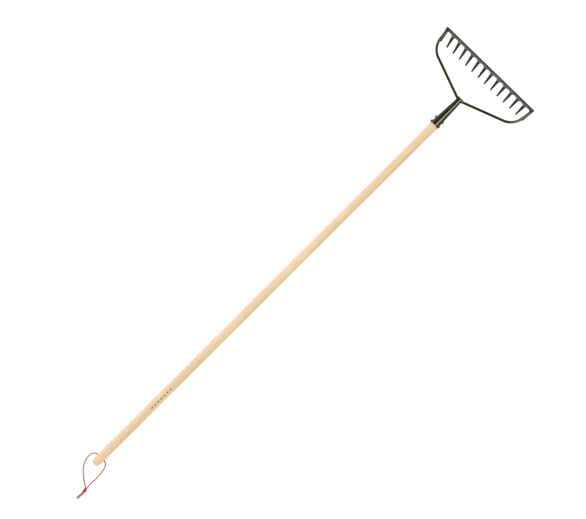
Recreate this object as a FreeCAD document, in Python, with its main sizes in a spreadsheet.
"""Bow rake: a fourteen-tine comb on a bent rod bow, a tapered steel socket and a long ash handle.

The rake is drawn in its own frame: X runs along the handle axis from the handle end to the comb,
Y points to the user's left, Z points up, and the origin is where the bow rod crosses the axis.
Every piece is then laid down on its tine tips and its handle end, with the origin of the finished
model at the bottom centre of its bounding box.
"""
import FreeCAD, Part
import math
import os

import Sketcher

os.makedirs("parts", exist_ok=True)
doc = FreeCAD.newDocument("bow_rake")

# ---------------------------------------------------------------- driving dimensions, millimetres
sheet = doc.addObject("Spreadsheet::Sheet", "sheet")
dimensions = {
    "handle_length": 1500.0,
    "handle_diameter": 28.0,
    "handle_end_round": 11.0,
    "tenon_length": 63.0,
    "tenon_gap": 0.1,
    "loop_hole_diameter": 5.4,
    "loop_hole_from_end": 29.0,
    "socket_length": 110.0,
    "socket_mouth_diameter": 30.0,
    "socket_nose_diameter": 18.6,
    "socket_wall": 1.5,
    "socket_solid_length": 16.0,
    "nose_front": 5.0,
    "nose_round": 4.0,
    "rivet_diameter": 5.0,
    "rivet_hole_gap": 0.1,
    "rivet_head_diameter": 7.6,
    "rivet_head_height": 3.6,
    "rivet_tail_diameter": 6.8,
    "rivet_tail_height": 2.2,
    "rivet_seat_gap": 0.25,
    "rivet_from_mouth": 8.0,
    "rivet_spacing": 17.0,
    "rod_diameter": 7.8,
    "root_bend_from_axis": 11.5,
    "root_bend_radius": 8.0,
    "shoulder_forward": 57.0,
    "shoulder_side": 166.5,
    "shoulder_radius": 55.0,
    "arm_end_forward": 121.0,
    "tine_count": 14.0,
    "tine_pitch": 27.0,
    "tine_root_width": 10.3,
    "tine_tip_width": 4.8,
    "tine_tip_thickness": 3.6,
    "tine_tip_bevel": 13.55,
    "tip_corner": 1.2,
    "comb_end_margin": 5.2,
    "comb_total_height": 65.0,
    "bar_height": 9.0,
    "bar_thickness": 5.0,
    "arch_round": 6.0,
    "comb_forward": 129.0,
    "comb_top": 6.0,
    "comb_lean": 15.0,
    "comb_weld_size": 5.2,
    "root_weld_size": 4.9,
    "root_weld_length": 2.6,
    "lace_diameter": 3.2,
    "knot_length": 16.0,
    "knot_width": 12.0,
    "knot_height": 8.4,
}
for row, (alias, value) in enumerate(dimensions.items(), start=1):
    sheet.set(f"A{row}", alias)
    sheet.set(f"B{row}", str(value))
    sheet.setAlias(f"B{row}", alias)
doc.recompute()


def dim(alias):
    """A driving dimension, read back from the sheet."""
    return float(sheet.get(alias))


def cells(expression):
    """Point the words of an expression at the sheet's cells."""
    words = [f"sheet.{word}" if word in dimensions else word for word in expression.split()]
    return " ".join(words)


def size(expression):
    """The number that an expression of the sheet's cells comes to."""
    return float(sheet.evalExpression(cells(expression)))


def planes_of(body):
    """The body's own origin planes and axes, by role."""
    return {feature.Role: feature for feature in body.Origin.OriginFeatures}


def new_body(name):
    """An empty body, and its origin planes and axes by role."""
    body = doc.addObject("PartDesign::Body", name)
    body.Label = name
    return body, planes_of(body)


def new_sketch(body, name, plane):
    """A sketch on one of the body's own origin planes."""
    sketch = body.newObject("Sketcher::SketchObject", name)
    sketch.AttachmentSupport = [(plane, "")]
    sketch.MapMode = "FlatFace"
    return sketch


def outline(body, name, plane, corners, rounds=None, closed=True):
    """A sketch of straight runs between corners, with some corners rounded.

    Each corner is a pair of expressions of the sheet's cells, and each round is a corner's
    number with the expression of its radius.
    """
    sketch = new_sketch(body, name, plane)
    points = [FreeCAD.Vector(size(across), size(up), 0) for across, up in corners]
    count = len(points)
    runs = count if closed else count - 1
    for index in range(runs):
        sketch.addGeometry(Part.LineSegment(points[index], points[(index + 1) % count]), False)
    for index in range(1, runs):
        sketch.addConstraint(Sketcher.Constraint("Coincident", index - 1, 2, index, 1))
    if closed:
        sketch.addConstraint(Sketcher.Constraint("Coincident", runs - 1, 2, 0, 1))
    bound = []
    for index, corner in enumerate(corners):
        line, end = (index, 1) if index < runs else (index - 1, 2)
        for kind, expression in zip(("DistanceX", "DistanceY"), corner):
            place = sketch.addConstraint(
                Sketcher.Constraint(kind, -1, 1, line, end, size(expression)))
            label = f"{kind}_{index}"
            sketch.renameConstraint(place, label)
            bound.append((label, expression))
    for index, radius in (rounds or {}).items():
        sketch.fillet(index, 1, size(radius), True, True)
        arc = max(number for number, shape in enumerate(sketch.Geometry)
                  if shape.TypeId == "Part::GeomArcOfCircle")
        place = sketch.addConstraint(Sketcher.Constraint("Radius", arc, size(radius)))
        label = f"Radius_{index}"
        sketch.renameConstraint(place, label)
        bound.append((label, radius))
    for label, expression in bound:
        sketch.setExpression(f"Constraints.{label}", cells(expression))
    return sketch


def circle(body, name, plane, centre, radius):
    """A sketch of one circle, its centre and radius given as expressions of the sheet's cells."""
    sketch = new_sketch(body, name, plane)
    middle = FreeCAD.Vector(size(centre[0]), size(centre[1]), 0)
    sketch.addGeometry(Part.Circle(middle, FreeCAD.Vector(0, 0, 1), size(radius)), False)
    for kind, expression in zip(("DistanceX", "DistanceY"), centre):
        place = sketch.addConstraint(Sketcher.Constraint(kind, -1, 1, 0, 3, size(expression)))
        sketch.setExpression(f"Constraints[{place}]", cells(expression))
    place = sketch.addConstraint(Sketcher.Constraint("Radius", 0, size(radius)))
    sketch.setExpression(f"Constraints[{place}]", cells(radius))
    return sketch


def revolved(body, name, sketch, axis):
    """A full turn of a sketch about one of the body's own axes."""
    feature = body.newObject("PartDesign::Revolution", name)
    feature.Profile = sketch
    feature.ReferenceAxis = (planes_of(body)[axis], [""])
    feature.Angle = 360.0
    return feature


def through_hole(body, name, sketch):
    """A hole right through the body, both ways from its sketch."""
    pocket = body.newObject("PartDesign::Pocket", name)
    pocket.Profile = sketch
    pocket.Type = "ThroughAll"
    pocket.Midplane = True
    return pocket


# ---------------------------------------------------------------- handle
# A round ash stick, its rear end turned to a dome and its front end to a slim cone that fills
# the socket. A cross hole near the rear end takes the hanging lace.
MOUTH = "( 0 - socket_length )"
REAR = "( tenon_length - socket_length - handle_length )"
TENON_END = "( tenon_length - socket_length )"
BORE_RADIUS = "( socket_mouth_diameter / 2 - socket_wall )"
TAPER = "( ( socket_mouth_diameter - socket_nose_diameter ) / 2 / socket_length )"
HOLE_PLACE = "( tenon_length - socket_length - handle_length + loop_hole_from_end )"
RIVET_PLACES = {
    "rear_rivet": "( rivet_from_mouth - socket_length )",
    "front_rivet": "( rivet_from_mouth + rivet_spacing - socket_length )",
}
RIVET_HOLE_RADIUS = "( rivet_diameter + rivet_hole_gap ) / 2"


def make_handle():
    """The wooden handle, with its cross holes for the lace and the two rivets."""
    body, planes = new_body("handle")
    profile = outline(body, "handle_profile", planes["XZ_Plane"], [
        (REAR, "0"),
        (REAR, "handle_diameter / 2"),
        (MOUTH, "handle_diameter / 2"),
        (MOUTH, f"{BORE_RADIUS} - tenon_gap"),
        (TENON_END, f"{BORE_RADIUS} - tenon_gap - {TAPER} * tenon_length"),
        (TENON_END, "0"),
    ], rounds={1: "handle_end_round"})
    revolved(body, "handle_turned", profile, "X_Axis")
    lace_hole = circle(body, "lace_hole_outline", planes["XZ_Plane"],
                       (HOLE_PLACE, "0"), "loop_hole_diameter / 2")
    through_hole(body, "lace_hole", lace_hole)
    for name, place in RIVET_PLACES.items():
        hole = circle(body, f"{name}_hole_outline", planes["XZ_Plane"], (place, "0"), RIVET_HOLE_RADIUS)
        through_hole(body, f"{name}_hole", hole)
    return body


# ---------------------------------------------------------------- socket
# A tapered steel tube with a solid nose. The bow rod passes through the nose from side to side.
def make_socket():
    """The tapered socket, open at the handle end, with its cross holes."""
    body, planes = new_body("socket")
    solid_from = "( 0 - socket_solid_length )"
    profile = outline(body, "socket_profile", planes["XZ_Plane"], [
        (MOUTH, BORE_RADIUS),
        (MOUTH, "socket_mouth_diameter / 2"),
        ("nose_front", f"socket_nose_diameter / 2 - {TAPER} * nose_front"),
        ("nose_front", "0"),
        (solid_from, "0"),
        (solid_from, f"{BORE_RADIUS} - {TAPER} * ( socket_length - socket_solid_length )"),
    ], rounds={2: "nose_round"})
    revolved(body, "socket_turned", profile, "X_Axis")
    rod_hole = circle(body, "rod_hole_outline", planes["XZ_Plane"], ("0", "0"), "rod_diameter / 2")
    through_hole(body, "rod_hole", rod_hole)
    for name, place in RIVET_PLACES.items():
        hole = circle(body, f"{name}_hole_outline", planes["XZ_Plane"], (place, "0"), RIVET_HOLE_RADIUS)
        through_hole(body, f"{name}_hole", hole)
    return body


# ---------------------------------------------------------------- rivets
# One shank across the socket and the handle, a domed head on the left and a peened tail on the
# right. The two differ in length because the socket tapers.
def make_rivet(name, place):
    """A rivet drawn about its own axis, which lies along Y."""
    body, planes = new_body(name)
    surface = f"socket_mouth_diameter / 2 - {TAPER} * ( {place} + socket_length )"
    reach = f"( {surface} + rivet_seat_gap )"
    profile = outline(body, f"{name}_profile", planes["XY_Plane"], [
        ("0", f"{reach} + rivet_head_height"),
        ("rivet_head_diameter / 2", f"{reach} + rivet_head_height"),
        ("rivet_head_diameter / 2", reach),
        ("rivet_diameter / 2", reach),
        ("rivet_diameter / 2", f"0 - {reach}"),
        ("rivet_tail_diameter / 2", f"0 - {reach}"),
        ("rivet_tail_diameter / 2", f"0 - {reach} - rivet_tail_height"),
        ("0", f"0 - {reach} - rivet_tail_height"),
    ], rounds={1: "rivet_head_height * 0.7", 6: "rivet_tail_height * 0.6"})
    revolved(body, f"{name}_turned", profile, "Y_Axis")
    return body


# ---------------------------------------------------------------- bow
# One round rod: across the nose, out along two straight arms and round two shoulders to the
# ends of the comb.
ARM_END_SIDE = "( ( tine_count - 1 ) / 2 * tine_pitch )"


def make_bow():
    """The bow rod, swept along its left half and mirrored."""
    body, planes = new_body("bow")
    path = outline(body, "arm_path", planes["XY_Plane"], [
        ("0", "0"),
        ("0", "root_bend_from_axis"),
        ("shoulder_forward", "shoulder_side"),
        ("arm_end_forward", ARM_END_SIDE),
    ], rounds={1: "root_bend_radius", 2: "shoulder_radius"}, closed=False)
    section = circle(body, "rod_section", planes["XZ_Plane"], ("0", "0"), "rod_diameter / 2")
    pipe = body.newObject("PartDesign::AdditivePipe", "left_arm")
    pipe.Profile = section
    pipe.Spine = path
    doc.recompute()
    mirrored = body.newObject("PartDesign::Mirrored", "both_arms")
    mirrored.Originals = [pipe]
    mirrored.MirrorPlane = (planes["XZ_Plane"], [""])
    body.Tip = mirrored
    return body


# ---------------------------------------------------------------- comb
# A forged steel bar with its tines in one piece. It is drawn upright: X through its thickness
# with the front face at 0, Y along the bar, Z up with the top edge at 0.
COMB_HALF_WIDTH = f"( {ARM_END_SIDE} + comb_end_margin )"
TIP = "( 0 - comb_total_height )"


def make_comb():
    """The comb: one slab of bar and tine thickness, then the gaps cut through it."""
    body, planes = new_body("comb")
    inner_tip = "( ( bar_thickness + tine_tip_thickness ) / 2 )"
    outer_tip = "( ( bar_thickness - tine_tip_thickness ) / 2 )"
    side = outline(body, "side_profile", planes["XZ_Plane"], [
        ("0", "0"),
        ("0", "0 - bar_height"),
        (f"0 - {outer_tip}", f"{TIP} + tine_tip_thickness * tan( tine_tip_bevel * 1 deg )"),
        (f"0 - {inner_tip}", TIP),
        ("0 - bar_thickness", "0 - bar_height"),
        ("0 - bar_thickness", "0"),
    ])
    slab = body.newObject("PartDesign::Pad", "slab")
    slab.Profile = side
    slab.Midplane = True
    slab.setExpression("Length", cells(f"2 * {COMB_HALF_WIDTH}"))
    doc.recompute()
    arch_half = "( ( tine_pitch - tine_root_width ) / 2 )"
    tip_half = "( ( tine_pitch - tine_tip_width ) / 2 )"
    middle = "( 0 - ( tine_count - 2 ) / 2 * tine_pitch )"
    corners = [
        (f"{middle} - {arch_half}", "0 - bar_height"),
        (f"{middle} + {arch_half}", "0 - bar_height"),
        (f"{middle} + {tip_half}", f"{TIP} + tip_corner"),
        (f"{middle} + {tip_half} + tip_corner", TIP),
        (f"{middle} - {tip_half} - tip_corner", TIP),
        (f"{middle} - {tip_half}", f"{TIP} + tip_corner"),
    ]
    gap = outline(body, "gap_outline", planes["YZ_Plane"], corners,
                  rounds={0: "arch_round", 1: "arch_round"})
    first_gap = through_hole(body, "first_gap", gap)
    doc.recompute()
    pattern = body.newObject("PartDesign::LinearPattern", "all_gaps")
    pattern.Originals = [first_gap]
    pattern.Direction = (planes["Y_Axis"], [""])
    pattern.setExpression("Length", cells("( tine_count - 2 ) * tine_pitch"))
    pattern.setExpression("Occurrences", cells("tine_count - 1"))
    body.Tip = pattern
    doc.recompute()
    flank = outline(body, "end_flank", planes["YZ_Plane"], [
        (COMB_HALF_WIDTH, "0 - bar_height"),
        (f"{COMB_HALF_WIDTH} + bar_thickness", "0 - bar_height"),
        (f"{COMB_HALF_WIDTH} + bar_thickness", TIP),
        (f"{ARM_END_SIDE} + tine_tip_width / 2 - tip_corner", TIP),
        (f"{ARM_END_SIDE} + tine_tip_width / 2", f"{TIP} + tip_corner"),
    ])
    left_end = through_hole(body, "left_end", flank)
    doc.recompute()
    both_ends = body.newObject("PartDesign::Mirrored", "both_ends")
    both_ends.Originals = [left_end]
    both_ends.MirrorPlane = (planes["XZ_Plane"], [""])
    body.Tip = both_ends
    return body


# ---------------------------------------------------------------- weld beads
# Each bead is a plain solid with the steel that it fills round taken out of it, so it meets the
# rod, the nose and the comb face to face.
def primitive(kind, name, placement=None, **sizes):
    """A Part primitive whose sizes are expressions of the sheet's cells."""
    item = doc.addObject(f"Part::{kind}", name)
    for label, expression in sizes.items():
        item.setExpression(label, cells(expression))
    item.Placement = placement or FreeCAD.Placement()
    return item


def cut_away(name, base, tools):
    """The base solid with each tool taken out of it in turn."""
    for index, tool in enumerate(tools, start=1):
        result = doc.addObject("Part::Cut", f"{name}_step_{index}")
        result.Base = base
        result.Tool = tool
        base = result
    base.Label = name
    return base


def along(start, direction):
    """The placement that stands a primitive's Z axis on a point, along a direction."""
    turn = FreeCAD.Rotation(FreeCAD.Vector(0, 0, 1), FreeCAD.Vector(*direction))
    return FreeCAD.Placement(FreeCAD.Vector(*start), turn)


def comb_placement():
    """Where the upright comb stands in the rake's own frame."""
    top = FreeCAD.Vector(dim("comb_forward"), 0, dim("comb_top"))
    return FreeCAD.Placement(top, FreeCAD.Rotation(FreeCAD.Vector(0, 1, 0), dim("comb_lean")))


def make_comb_weld(name, side):
    """The bead round a rod end where it meets the back of the comb; side is 1 left, -1 right."""
    end = (dim("arm_end_forward"), side * size(ARM_END_SIDE), 0)
    shoulder = (dim("shoulder_forward"), side * dim("shoulder_side"), 0)
    back = [from_end - to_start for from_end, to_start in zip(shoulder, end)]
    bead = primitive("Sphere", f"{name}_bead", FreeCAD.Placement(FreeCAD.Vector(*end), FreeCAD.Rotation()),
                     Radius="comb_weld_size")
    rod = primitive("Cylinder", f"{name}_rod", along(end, back),
                    Radius="rod_diameter / 2", Height="2 * comb_weld_size")
    corner = FreeCAD.Vector(-dim("bar_thickness"), end[1] - 2 * dim("comb_weld_size"), -dim("bar_height") * 2)
    plate = primitive("Box", f"{name}_plate", comb_placement() * FreeCAD.Placement(corner, FreeCAD.Rotation()),
                      Length="4 * bar_thickness", Width="4 * comb_weld_size", Height="4 * bar_height")
    return cut_away(name, bead, [rod, plate])


def make_root_weld(name, side):
    """The bead round the rod where it leaves the nose; side is 1 left, -1 right."""
    inside = size("socket_nose_diameter / 2 - root_weld_length")
    bead = primitive("Cone", f"{name}_bead", along((0, side * inside, 0), (0, side, 0)),
                     Radius1="root_weld_size", Radius2="rod_diameter / 2 + 0.1",
                     Height="2 * root_weld_length")
    rod = primitive("Cylinder", f"{name}_rod", along((0, 0, 0), (0, side, 0)),
                    Radius="rod_diameter / 2", Height="2 * socket_nose_diameter")
    nose = primitive("Cone", f"{name}_nose", along((size(MOUTH), 0, 0), (1, 0, 0)),
                     Radius1="socket_mouth_diameter / 2",
                     Radius2=f"socket_nose_diameter / 2 - {TAPER} * nose_front",
                     Height="socket_length + nose_front")
    return cut_away(name, bead, [rod, nose])


# ---------------------------------------------------------------- hanging lace
# One soft lace, threaded through the handle and knotted. Its two halves meet in the middle of
# the hole, and each runs through the knot to its own short tail. The routes are in the finished
# model's frame, where the ground is at 0.
LACE_START = (-809.5, 0.0, 14.4)
LEFT_ROUTE = [
    LACE_START,
    (-809.5, 18.5, 14.4),
    (-827.0, 29.5, 7.0),
    (-848.0, 31.0, 1.7),
    (-871.0, 23.0, 1.65),
    (-891.0, 3.0, 1.65),
    (-905.5, -17.5, 1.7),
    (-912.6, -31.5, 3.5),
    (-923.1, -34.5, 3.7),
    (-937.5, -35.0, 1.8),
    (-952.3, -33.6, 1.65),
]
RIGHT_ROUTE = [
    LACE_START,
    (-809.5, -18.5, 14.4),
    (-826.0, -30.0, 6.0),
    (-846.5, -32.2, 1.7),
    (-872.0, -35.0, 1.65),
    (-893.5, -33.2, 1.65),
    (-908.1, -34.8, 3.0),
    (-922.6, -38.0, 3.7),
    (-937.0, -38.5, 1.8),
    (-953.3, -37.4, 1.65),
]
KNOT_CENTRE = (-920.6, -36.1, 4.25)
KNOT_TURN = 10.0
RUN_SHARE = 0.45


def rounded_path(route):
    """Straight runs joined by tangent arcs, each as large as the shorter of its two runs allows."""
    points = [FreeCAD.Vector(*point) for point in route]
    edges = []
    radii = []
    start = points[0]
    for before, corner, after in zip(points, points[1:], points[2:]):
        back = before - corner
        ahead = after - corner
        reach = RUN_SHARE * min(back.Length, ahead.Length)
        turn = math.pi - back.getAngle(ahead)
        radii.append(reach / math.tan(turn / 2))
        back.normalize()
        ahead.normalize()
        entry = corner + back * reach
        leave = corner + ahead * reach
        middle = (back + ahead).normalize()
        top = corner + middle * radii[-1] * (1 / math.cos(turn / 2) - 1)
        edges.append(Part.LineSegment(start, entry).toShape())
        edges.append(Part.Arc(entry, top, leave).toShape())
        start = leave
    edges.append(Part.LineSegment(start, points[-1]).toShape())
    return Part.Wire(edges), radii


def lace_tube(route):
    """The lace's tube along a route, with its length and radii printed."""
    path, radii = rounded_path(route)
    first = path.Edges[0]
    radius = dim("lace_diameter") / 2
    ring = Part.Circle(first.Vertexes[0].Point, first.tangentAt(first.FirstParameter), radius)
    tube = path.makePipeShell([Part.Wire([ring.toShape()])], True, False)
    expected = math.pi * radius ** 2 * path.Length
    print(f"lace {path.Length:.1f} mm, volume {tube.Volume / expected:.4f} of section times length,",
          "radii", [round(value, 1) for value in radii])
    return tube


def make_lace(name, route):
    """One half of the lace, as a plain tube."""
    lace = doc.addObject("Part::Feature", name)
    lace.Shape = lace_tube(route)
    lace.Label = name
    return lace


def make_knot(laces):
    """The knot's outer shape, with the two strands that pass through it taken out."""
    turn = FreeCAD.Rotation(FreeCAD.Vector(0, 0, 1), KNOT_TURN)
    ball = primitive("Ellipsoid", "knot_body", FreeCAD.Placement(FreeCAD.Vector(*KNOT_CENTRE), turn),
                     Radius1="knot_height / 2", Radius2="knot_length / 2", Radius3="knot_width / 2")
    return cut_away("lace_knot", ball, laces)


# ---------------------------------------------------------------- the rake, laid on the ground
rake = {"handle": make_handle(), "socket": make_socket()}
doc.recompute()
for rivet_name, rivet_place in RIVET_PLACES.items():
    rake[rivet_name] = make_rivet(rivet_name, rivet_place)
rake["bow"] = make_bow()
rake["comb"] = make_comb()
for side_name, side in (("left", 1), ("right", -1)):
    rake[f"{side_name}_comb_weld"] = make_comb_weld(f"{side_name}_comb_weld", side)
    rake[f"{side_name}_root_weld"] = make_root_weld(f"{side_name}_root_weld", side)
doc.recompute()

own_places = {name: FreeCAD.Placement() for name in rake}
own_places["comb"] = comb_placement()
for rivet_name, rivet_place in RIVET_PLACES.items():
    own_places[rivet_name].Base = FreeCAD.Vector(size(rivet_place), 0, 0)

# The rake rests on the inner edge of its tine tips and on the low side of its handle end.
inner_tip = comb_placement().multVec(FreeCAD.Vector(
    size("0 - ( bar_thickness + tine_tip_thickness ) / 2"), 0, size(TIP)))
heel = FreeCAD.Vector(size(f"{REAR} + handle_end_round"), 0, size("0 - handle_diameter / 2"))
lay_angle = math.degrees(math.atan2(heel.z - inner_tip.z, inner_tip.x - heel.x))
tilt = FreeCAD.Placement(FreeCAD.Vector(), FreeCAD.Rotation(FreeCAD.Vector(0, 1, 0), -lay_angle))
for name, part in rake.items():
    part.Placement = tilt * own_places[name]
doc.recompute()
tilted = Part.makeCompound([part.Shape for part in rake.values()])
box = tilted.optimalBoundingBox(False)
lay = FreeCAD.Placement(
    FreeCAD.Vector(-(box.XMin + box.XMax) / 2, 0, -box.ZMin), FreeCAD.Rotation()) * tilt
for name, part in rake.items():
    part.Placement = lay * own_places[name]

laces = [make_lace("left_lace", LEFT_ROUTE), make_lace("right_lace", RIGHT_ROUTE)]
parts = dict(rake, left_lace=laces[0], right_lace=laces[1], lace_knot=make_knot(laces))
doc.recompute()

# ---------------------------------------------------------------- check and write
for item in doc.Objects:
    if "Invalid" in item.State or "Error" in item.State:
        raise SystemExit(f"{item.Name} failed: {item.State}")
for name, part in parts.items():
    if part.Shape.isNull() or not part.Shape.isValid():
        raise SystemExit(f"{name} has no valid shape")
print(f"laid at {lay_angle:.4f} degrees, shifted to {lay.Base}")
for name, part in parts.items():
    extent = part.Shape.optimalBoundingBox(False)
    print(f"{name}: {len(part.Shape.Solids)} solid, {part.Shape.Volume:.0f} mm3,",
          f"X {extent.XMin:.1f} {extent.XMax:.1f}, Y {extent.YMin:.1f} {extent.YMax:.1f},",
          f"Z {extent.ZMin:.2f} {extent.ZMax:.2f}")
    part.Shape.exportStep(f"parts/{name}.step")
